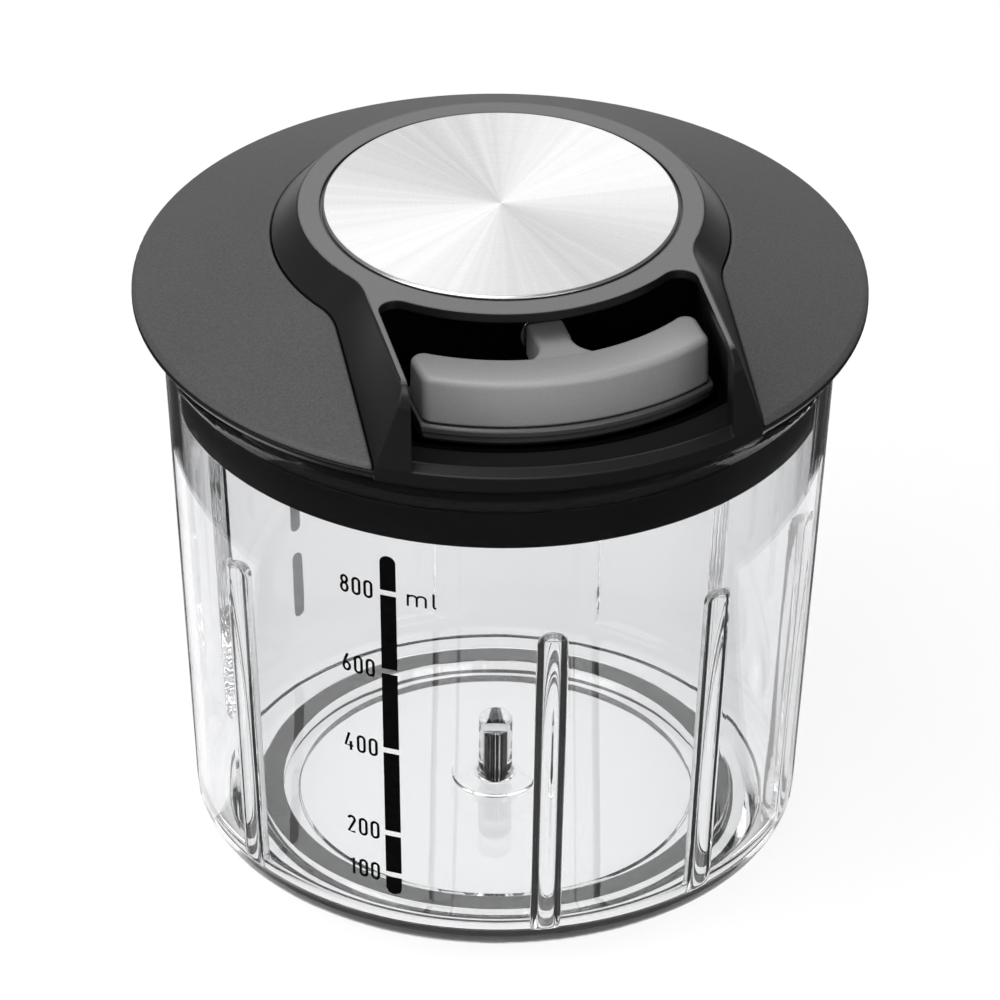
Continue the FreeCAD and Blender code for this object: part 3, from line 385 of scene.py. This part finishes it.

# The disc is turned on a lathe: fine rings round the axis, in its colour and bump. Its lighter and darker
# fanned sectors and the streaks by angle are painted highlights and shade, standing in for the spun metal's
# reflection.
disc = {
    "ringScale": 9000.0, "ringDepth": 0.35, "ringHeight": 0.00002, "ringTone": 0.5, "fans": 2.0, "paintedFan": 0.7,
    "fanTurn": 0.6, "paintedStreak": 0.5, "streakScale": 9.0, "colour": (0.24, 0.66), "roughness": (0.23, 0.34),
    "edge": 0.0003}


def spunSteel(name, look):
    g = Graph(name)
    where = g.place()
    x = g.split(where, "X")
    y = g.split(where, "Y")
    radius = (x * x + y * y).math("SQRT")
    angle = y.math("ARCTAN2", x)
    ring = g.lineNoise(radius, look["ringScale"], 3.0, 0.7)
    # Painted highlights: lighter and darker sectors and streaks by angle in the colour; the rings by radius
    # are the turned grain.
    paintedFan = (angle * look["fans"] + look["fanTurn"]).math("SINE") * 0.5 + 0.5
    paintedStreak = g.lineNoise(angle, look["streakScale"], 4.0, 0.6)
    tone = paintedFan * look["paintedFan"] + paintedStreak * look["paintedStreak"] + ring * look["ringTone"]
    total = look["paintedFan"] + look["paintedStreak"] + look["ringTone"]
    return g.surface({
        "Base Color": g.mixGrey(tone / total, look["colour"]), "Metallic": 1.0,
        "Roughness": g.remap(ring, 0.3, 0.7, *look["roughness"]),
        "Normal": g.bump(ring, look["ringDepth"], look["ringHeight"], g.softEdge(look["edge"]))})


dress(spunSteel("spunDisc", disc), ["metal_disc"])

# The bare pin under the boss's clear cap has painted reflections: dark sides with a few bright streaks
# along it, painted into its colour by angle.
pin = {"streaks": 2.6, "from": 0.52, "to": 0.66, "colour": (0.02, 0.80), "roughness": 0.30, "polish": 0.1,
       "edge": 0.0002}


def reflectionPaintedSteel(name, look):
    g = Graph(name)
    where = g.place()
    angle = g.split(where, "Y").math("ARCTAN2", g.split(where, "X"))
    # Painted reflection: the colour goes from dark to bright by angle round the pin.
    tone = g.remap(g.lineNoise(angle, look["streaks"], 3.0, 0.65), look["from"], look["to"])
    return g.surface({
        "Base Color": g.mixGrey(tone, look["colour"]), "Metallic": 1.0,
        "Roughness": look["roughness"] - tone * look["polish"], "Normal": g.softEdge(look["edge"])})


dress(reflectionPaintedSteel("pinSteel", pin), ["spindle_pin"])

# Plain steel of the small fittings, with fine marks.
metals = {
    "brightSteel": {
        "nodes": ["cord_eyelet", "housing_screws", "handle_screws", "cord_crimp", "drive_shaft",
                  "ratchet_wheel"],
        "level": 0.70, "roughness": 0.25},
    "bluedSteel": {"nodes": ["mainspring"], "level": 0.32, "roughness": 0.35}}

marking = {"scale": 900.0, "dark": 0.82, "roughness": 0.12, "edge": 0.0002}


def plainMetal(name, look):
    g = Graph(name)
    marks = g.noise(g.place(), marking["scale"], 3.0, 0.6)
    return g.surface({
        "Base Color": g.mixGrey(marks, (look["level"] * marking["dark"], look["level"])), "Metallic": 1.0,
        "Roughness": look["roughness"] + (marks - 0.5) * marking["roughness"],
        "Normal": g.softEdge(marking["edge"])})


for name, look in metals.items():
    dress(plainMetal(name, look), look["nodes"])

# The rubber ring in the bowl's foot has a soft mottled surface.
rubber = {"colour": (0.010, 0.035), "grainScale": 1500.0, "patchScale": 160.0, "roughness": 0.62,
          "grainRough": 0.12, "specular": 0.35, "grainDepth": 0.25, "grainHeight": 0.0001, "edge": 0.0003}


def mattRubber(name, look):
    g = Graph(name)
    where = g.place()
    grain = g.noise(where, look["grainScale"], 3.0, 0.6)
    patch = g.noise(where, look["patchScale"], 4.0, 0.6)
    return g.surface({
        "Base Color": g.mixGrey(patch, look["colour"]), "Specular IOR Level": look["specular"],
        "Roughness": look["roughness"] + grain * look["grainRough"],
        "Normal": g.bump(grain, look["grainDepth"], look["grainHeight"], g.softEdge(look["edge"]))})


dress(mattRubber("footRubber", rubber), ["non_slip_ring"])

# Braided cord: two sets of strands crossing round its length.
braid = {"colour": (0.02, 0.07), "strands": 5200.0, "weaveTone": 0.35, "fibreScale": 4000.0,
         "fibreTone": 0.5, "roughness": 0.8, "sheen": 0.3, "depth": 0.5, "height": 0.0002}


def braidedCord(name, look):
    g = Graph(name)
    where = g.place()
    x, y, z = (g.split(where, axis) for axis in "XYZ")
    weave = ((x + y + z) * look["strands"]).math("SINE") * ((x - y + z) * look["strands"]).math("SINE")
    fibre = g.noise(where, look["fibreScale"], 2.0, 0.6)
    return g.surface({
        "Base Color": g.mixGrey(weave * look["weaveTone"] + fibre * look["fibreTone"], look["colour"]),
        "Roughness": look["roughness"], "Sheen Weight": look["sheen"],
        "Normal": g.bump(weave, look["depth"], look["height"])})


cordBraid = braidedCord("cordBraid", braid)
dress(cordBraid, ["cord_run", "wound_cord"])
print("metals, rubber and cord dressed")

# Bowl: one clear lathe form whose inside wall swells into the ribs. Millimetres, as in the CAD.
# A profile point is its distance from the axis and its height. The boss's heights are above the floor.
bowl = {
    "baseRadius": 56.2, "flare": 0.0617, "wall": 2.1, "top": 113.5, "floorTop": 7.5,
    "floorUnder": 2.6, "underRadius": 37.2,
    "foot": ((37.4, 1.0), (40.3, 1.0), (40.3, 5.98), (44.6, 5.98), (44.6, 1.0), (47.6, 1.0), (50.5, 2.6),
             (50.7, 4.2)),
    "cornerMiddle": (54.7, 5.3), "cornerTo": 8.6, "wallHeights": range(12, 112, 4),
    "rimDrop": 0.9, "rimMiddle": 0.26, "mouthIn": 0.15, "mouthDrop": 0.2,
    "insideHeights": (104, 96, 88, 82), "ribEndHeights": (78.4, 0.3, 22), "ribHeights": (70, 3, 19),
    "insideLast": 13.5, "floorCorner": 4.5, "floorCornerMiddle": (1.35, 1.3),
    "floorRadii": (46.0, 40.0, 30.0, 18.0, 8.3), "bossPlate": ((8.0, 0.5), (4.6, 0.5)),
    "bossFillet": ((3.6, 0.9), (3.2, 1.9)), "bossSide": ((3.2, 6.5), (3.2, 12.3)),
    "bossDome": ((2.85, 13.15), (2.0, 13.5)), "crisp": 0.12,
    "ribRadius": 2.75, "ribTop": 77.2, "ribs": (-66.5, -2.8, 30.5, 60.5, 118.0, 148.5, 177.5, -122.5),
    "turnStep": 2.5, "ribReach": 1.12, "ribReachAt": 40, "ribClear": 0.4, "ribTurn": 6, "ribTurns": 15,
    "colour": (0.892, 0.895, 0.897, 1.0), "gloss": (0.35, 0.35, 0.35, 1.0),
    "shadow": (0.90, 0.90, 0.90, 1.0), "roughness": 0.012, "ior": 1.49,
    "waveScale": 60.0, "waveDepth": 0.04, "waveHeight": 0.0004}


# Shadow rays pass straight through, so that the floor inside stays light.
def clearPlastic(name, look):
    g = Graph(name)
    wave = g.noise(g.place(), look["waveScale"], 2.0, 0.5)
    glass = g.node("ShaderNodeBsdfPrincipled", inputs={
        "Base Color": look["colour"], "Roughness": look["roughness"], "IOR": look["ior"],
        "Transmission Weight": 1.0, "Specular Tint": look["gloss"],
        "Normal": g.bump(wave, look["waveDepth"], look["waveHeight"])})
    through = g.node("ShaderNodeBsdfTransparent", inputs=[look["shadow"]])
    return g.finish(g.mixShader(g.ray("Is Shadow Ray"), glass, through))


def bowlOuter(z):
    return bowl["baseRadius"] + bowl["flare"] * z


def bowlInner(z):
    return bowlOuter(z) - bowl["wall"]


def arcPoints(start, middle, end, count):
    control = [2 * m - (s + e) / 2 for s, m, e in zip(start, middle, end)]
    points = []
    for k in range(count + 1):
        t = k / count
        points.append(tuple((1 - t) ** 2 * s + 2 * t * (1 - t) * c + t * t * e
                            for s, c, e in zip(start, control, end)))
    return points


# Two more points close to each corner keep the smooth shading of the flat runs apart.
def crisp(profile):
    inset = bowl["crisp"]
    points = []
    for index, point in enumerate(profile):
        here = Vector(point)
        before = Vector(profile[index - 1]) - here if index else None
        after = Vector(profile[index + 1]) - here if index + 1 < len(profile) else None
        if before is not None and before.length > 3 * inset:
            points.append(tuple(here + before.normalized() * inset))
        points.append(tuple(here))
        if after is not None and after.length > 3 * inset:
            points.append(tuple(here + after.normalized() * inset))
    return points


# From the middle of the underside out, up the wall and over the rim.
def outsideProfile():
    top = bowl["top"]
    under = [(0.0, bowl["floorUnder"]), (bowl["underRadius"], bowl["floorUnder"])] + list(bowl["foot"])
    wallFrom = (bowlOuter(bowl["cornerTo"]), bowl["cornerTo"])
    corner = arcPoints(under[-1], bowl["cornerMiddle"], wallFrom, 12)[1:]
    wall = [(bowlOuter(z), z) for z in bowl["wallHeights"]]
    drop, middle = bowl["rimDrop"], bowl["rimMiddle"]
    rim = arcPoints((bowlOuter(top - drop), top - drop), (bowlOuter(top) - middle, top - middle),
                    (bowlOuter(top) - drop, top), 5)
    mouth = [(bowlInner(top) + bowl["mouthIn"], top), (bowlInner(top), top - bowl["mouthDrop"])]
    return crisp(under) + corner + wall + rim + mouth


# Down the wall, across the floor and up the boss to the axis. The points are dense at the ribs' ends.
def insideProfile():
    floorTop = bowl["floorTop"]
    heights = list(bowl["insideHeights"])
    for first, step, count in (bowl["ribEndHeights"], bowl["ribHeights"]):
        heights += [first - step * k for k in range(count)]
    wall = [(bowlInner(z), z) for z in heights + [bowl["insideLast"]]]
    corner = bowl["floorCorner"]
    low = bowlInner(floorTop + corner)
    inward, upward = bowl["floorCornerMiddle"]
    bend = arcPoints((low, floorTop + corner), (low - inward, floorTop + upward),
                     (low - corner, floorTop), 12)

    def raised(points):
        return [(radius, floorTop + height) for radius, height in points]

    plate = raised(bowl["bossPlate"])
    fillet = arcPoints(plate[-1], *raised(bowl["bossFillet"]), 5)[1:]
    side = raised(bowl["bossSide"])
    dome = arcPoints(side[-1], *raised(bowl["bossDome"]), 5)[1:]
    floor = [(radius, floorTop) for radius in bowl["floorRadii"]]
    return wall + bend + crisp(floor + plate + fillet) + side + dome + [(0.0, dome[-1][1])]


def ribHeight(side, z):
    end = bowl["ribTop"] - bowl["ribRadius"]
    above = max(0.0, z - end)
    left = bowl["ribRadius"] ** 2 - side ** 2 - above ** 2
    return math.sqrt(left) if left > 0 else 0.0


# Even steps round the bowl, with closer ones across each rib.
def bowlAngles():
    reach = math.degrees(bowl["ribReach"] * bowl["ribRadius"] / bowlInner(bowl["ribReachAt"]))
    step, turns = bowl["turnStep"], bowl["ribTurns"]
    angles = {round(k * step, 3) for k in range(int(360 / step))}
    for rib in bowl["ribs"]:
        angles = {a for a in angles if abs((a - rib + 180) % 360 - 180) > reach + bowl["ribClear"]}
        for k in range(-turns, turns + 1):
            angles.add(round((rib + reach * math.sin(math.radians(k * bowl["ribTurn"]))) % 360, 3))
    return sorted(angles)


def wallRadius(angle, z):
    radius = bowlInner(z)
    for rib in bowl["ribs"]:
        side = math.radians((angle - rib + 180) % 360 - 180) * bowlInner(z)
        if abs(side) < bowl["ribRadius"]:
            radius = min(radius, bowlInner(z) - ribHeight(side, z))
    return radius


def makeBowl():
    outside, inside = outsideProfile(), insideProfile()
    angles = bowlAngles()
    points, faces = [], []
    for index, (radius, z) in enumerate(outside + inside):
        if radius == 0.0:
            points.append((0, 0, z * mm))
            continue
        ribbed = index >= len(outside) and bowl["floorTop"] <= z < bowl["ribTop"]
        for angle in angles:
            r = min(radius, wallRadius(angle, z)) if ribbed else radius
            turn = math.radians(angle)
            points.append((r * math.sin(turn) * mm, -r * math.cos(turn) * mm, z * mm))
    count = len(angles)
    rings = len(outside) + len(inside) - 2
    last = 1 + (rings - 1) * count
    for k in range(count):
        after = (k + 1) % count
        faces.append((0, 1 + after, 1 + k))
        faces.append((last + k, last + after, len(points) - 1))
        for low in range(1, last, count):
            faces.append((low + k, low + after, low + count + after, low + count + k))
    clear = clearPlastic("clearPlastic", bowl)
    made = ridingMesh("bowlClear", points, faces, clear, "bowl")
    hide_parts("bowl")


makeBowl()
print("bowl made")

# Printed scales on the outside of the bowl. Heights in millimetres, angles from the handle's direction.
# A letter's stroke and the space after it are parts of its height.
scale = {
    "lift": 0.06, "thick": 0.03, "roundSteps": 12, "longSteps": 24,
    "front": {"angle": -31.7, "width": 3.1, "low": 15.9, "high": 93.7, "gap": 1.15, "roundAll": False},
    "back": {"angle": -149.4, "width": 2.6, "low": 16.0, "high": 86.0, "gap": 4.8, "roundAll": True},
    "marks": {85.3: "800", 67.4: "600", 49.2: "400", 30.0: "200", 20.4: "100"},
    "backMarks": (32.4, 55.5, 77.5),
    "number": {"angle": -37.6, "height": 3.95, "stroke": 0.14, "space": 0.17},
    "unit": {"angle": -25.7, "at": 85.0, "height": 3.4, "stroke": 0.13, "space": 0.25},
    "ink": {"level": 0.001, "alpha": 1.0}, "paleInk": {"level": 0.25, "alpha": 0.55},
    "film": {"scale": 700.0, "tone": 0.004, "roughness": 0.55, "spread": 0.1}}


# The ink's film is slightly uneven.
def printedInk(name, look):
    g = Graph(name)
    film = scale["film"]
    uneven = g.noise(g.place(), film["scale"], 3.0, 0.6)
    return g.surface({
        "Base Color": g.mixGrey(uneven, (look["level"], look["level"] + film["tone"])),
        "Roughness": film["roughness"] + uneven * film["spread"],
        "Specular IOR Level": 0.0, "Alpha": look["alpha"]})


def onWall(angle, sideways, z, out):
    radius = bowlOuter(z) + out
    turn = math.radians(angle) + sideways / radius
    return Vector((radius * math.sin(turn), -radius * math.cos(turn), z)) * mm


# A film on the wall between two rows of points, with its lower and its upper face.
def plate(name, angle, rows, material):
    points, faces = [], []
    across, along = len(rows), len(rows[0])
    for out in (scale["lift"], scale["lift"] + scale["thick"]):
        for row in rows:
            points += [onWall(angle, x, z, out) for x, z in row]
    top = across * along
    for i in range(across - 1):
        for k in range(along - 1):
            a = i * along + k
            b = a + along
            faces.append((a, a + 1, b + 1, b))
            faces.append((top + a, top + b, top + b + 1, top + a + 1))
    ridingMesh(name, points, faces, material, "bowl")


# One upright strip of a bar, with round or square ends.
def strip(name, look, low, high, roundLow, roundHigh, material):
    half = look["width"] / 2
    steps = scale["longSteps"]
    rows = []
    for k in range(scale["roundSteps"] + 1):
        turn = math.pi * k / scale["roundSteps"]
        back = half - half * math.sin(turn)
        top = high - back if roundHigh else high
        bottom = low + back if roundLow else low
        heights = [bottom + (top - bottom) * j / steps for j in range(steps + 1)]
        rows.append([(-half * math.cos(turn), z) for z in heights])
    plate(name, look["angle"], rows, material)


def makeBar(name, look, marks, material):
    ends = [z + side * look["gap"] / 2 for z in sorted(marks) for side in (-1, 1)]
    ends = [look["low"]] + ends + [look["high"]]
    for k in range(0, len(ends), 2):
        roundLow = look["roundAll"] or k == 0
        roundHigh = look["roundAll"] or k == len(ends) - 2
        strip(name + str(k // 2), look, ends[k], ends[k + 1], roundLow, roundHigh, material)


def bow(x, z, across, tall, start, end, count=14):
    turns = [math.radians(start + (end - start) * k / count) for k in range(count + 1)]
    return [(x + across * math.cos(t), z + tall * math.sin(t)) for t in turns]


# Letters drawn with one even stroke. Each has its width and its centre lines, one unit high.
glyphs = {
    "0": (0.44, [bow(0, 0.77, 0.165, 0.175, 0, 180) + bow(0, 0.23, 0.165, 0.175, 180, 360)
                 + [(0.165, 0.77)]]),
    "1": (0.36, [[(-0.12, 0.75), (0.06, 0.94), (0.06, 0.0)]]),
    "2": (0.44, [bow(0, 0.765, 0.165, 0.18, 165, -35) + [(-0.165, 0.055), (0.19, 0.055)]]),
    "4": (0.50, [[(0.02, 1.0), (-0.19, 0.26), (0.22, 0.26)], [(0.09, 0.52), (0.09, 0.0)]]),
    "6": (0.44, [bow(0, 0.27, 0.165, 0.215, 0, 360), [(-0.16, 0.34), (-0.11, 0.56), (0.06, 1.0)]]),
    "8": (0.44, [bow(0, 0.745, 0.145, 0.20, 0, 360), bow(0, 0.295, 0.165, 0.24, 0, 360)]),
    "m": (1.16, [[(-0.50, 0.0), (-0.50, 0.78)], bow(-0.25, 0.52, 0.25, 0.20, 180, 0) + [(0.0, 0.0)],
                 bow(0.25, 0.52, 0.25, 0.20, 180, 0) + [(0.50, 0.0)]]),
    "l": (0.30, [[(-0.05, 1.0), (-0.05, 0.14), (0.0, 0.06), (0.10, 0.06)]])}


# The direction of a stroke at one of its points. A closed stroke goes on past its ends.
def strokeAlong(run, index):
    before = Vector(run[max(index - 1, 0)])
    after = Vector(run[min(index + 1, len(run) - 1)])
    closed = (Vector(run[0]) - Vector(run[-1])).length < 0.001
    if closed and index in (0, len(run) - 1):
        before, after = Vector(run[-2]), Vector(run[1])
    return (after - before).normalized()


def lettering(name, words, z, look, material):
    size, half = look["height"], look["stroke"] / 2
    out = scale["lift"] + scale["thick"]
    width = sum(glyphs[c][0] for c in words) + look["space"] * (len(words) - 1)
    start = -width / 2
    points, faces = [], []
    for letter in words:
        wide, runs = glyphs[letter]
        for run in runs:
            first = len(points)
            for index, (x, y) in enumerate(run):
                along = strokeAlong(run, index)
                for sign in (-1, 1):
                    across = (x - sign * along.y * half + start + wide / 2) * size
                    up = (y + sign * along.x * half - 0.5) * size
                    points.append(onWall(look["angle"], across, z + up, out))
                if index:
                    k = first + 2 * index
                    faces.append((k - 2, k, k + 1, k - 1))
        start += wide + look["space"]
    ridingMesh(name, points, faces, material, "bowl")


def makeScales():
    ink = printedInk("blackInk", scale["ink"])
    makeBar("volumeBar", scale["front"], scale["marks"], ink)
    for z, words in scale["marks"].items():
        lettering("volume" + words, words, z, scale["number"], ink)
    lettering("volumeUnit", "ml", scale["unit"]["at"], scale["unit"], ink)
    makeBar("cupBar", scale["back"], scale["backMarks"], printedInk("backInk", scale["paleInk"]))


makeScales()
print("scales made")

# Cord between the eyelet and the handle, a straight braided tube. Millimetres from the axis.
pullCord = {"radius": 1.05, "height": 122.4, "turn": 3.2, "start": 26.8, "eyelet": 28.9, "neck": 29.9,
            "end": 43.0, "sides": 16, "parts": 12}


def makePullCord(look):
    turn = math.radians(look["turn"])
    ahead = Vector((math.sin(turn), -math.cos(turn), 0))
    side = Vector((math.cos(turn), math.sin(turn), 0))
    up = Vector((0, 0, 1))
    sides, parts = look["sides"], look["parts"]

    def centre(stop):
        return ahead * stop * mm + up * look["height"] * mm

    span = look["neck"] - look["eyelet"]
    stops = [look["start"], look["eyelet"]]
    stops += [look["eyelet"] + span * k / parts for k in range(1, parts + 1)] + [look["end"]]
    points, faces = [], []
    for stop in stops:
        for k in range(sides):
            angle = 2 * math.pi * k / sides
            around = side * math.cos(angle) + up * math.sin(angle)
            points.append(centre(stop) + around * look["radius"] * mm)
    for a in range(0, len(points) - sides, sides):
        for k in range(sides):
            after = (k + 1) % sides
            faces.append((a + k, a + after, a + sides + after, a + sides + k))
    faces.append(tuple(range(sides - 1, -1, -1)))
    faces.append(tuple(range(len(points) - sides, len(points))))
    made = addMesh("pullCord", points, faces, cordBraid, smooth=True)
    low = centre(look["eyelet"])
    high = centre(look["neck"])
    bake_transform(made)
    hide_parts("cord_end")


makePullCord(pullCord)
print("cord made")
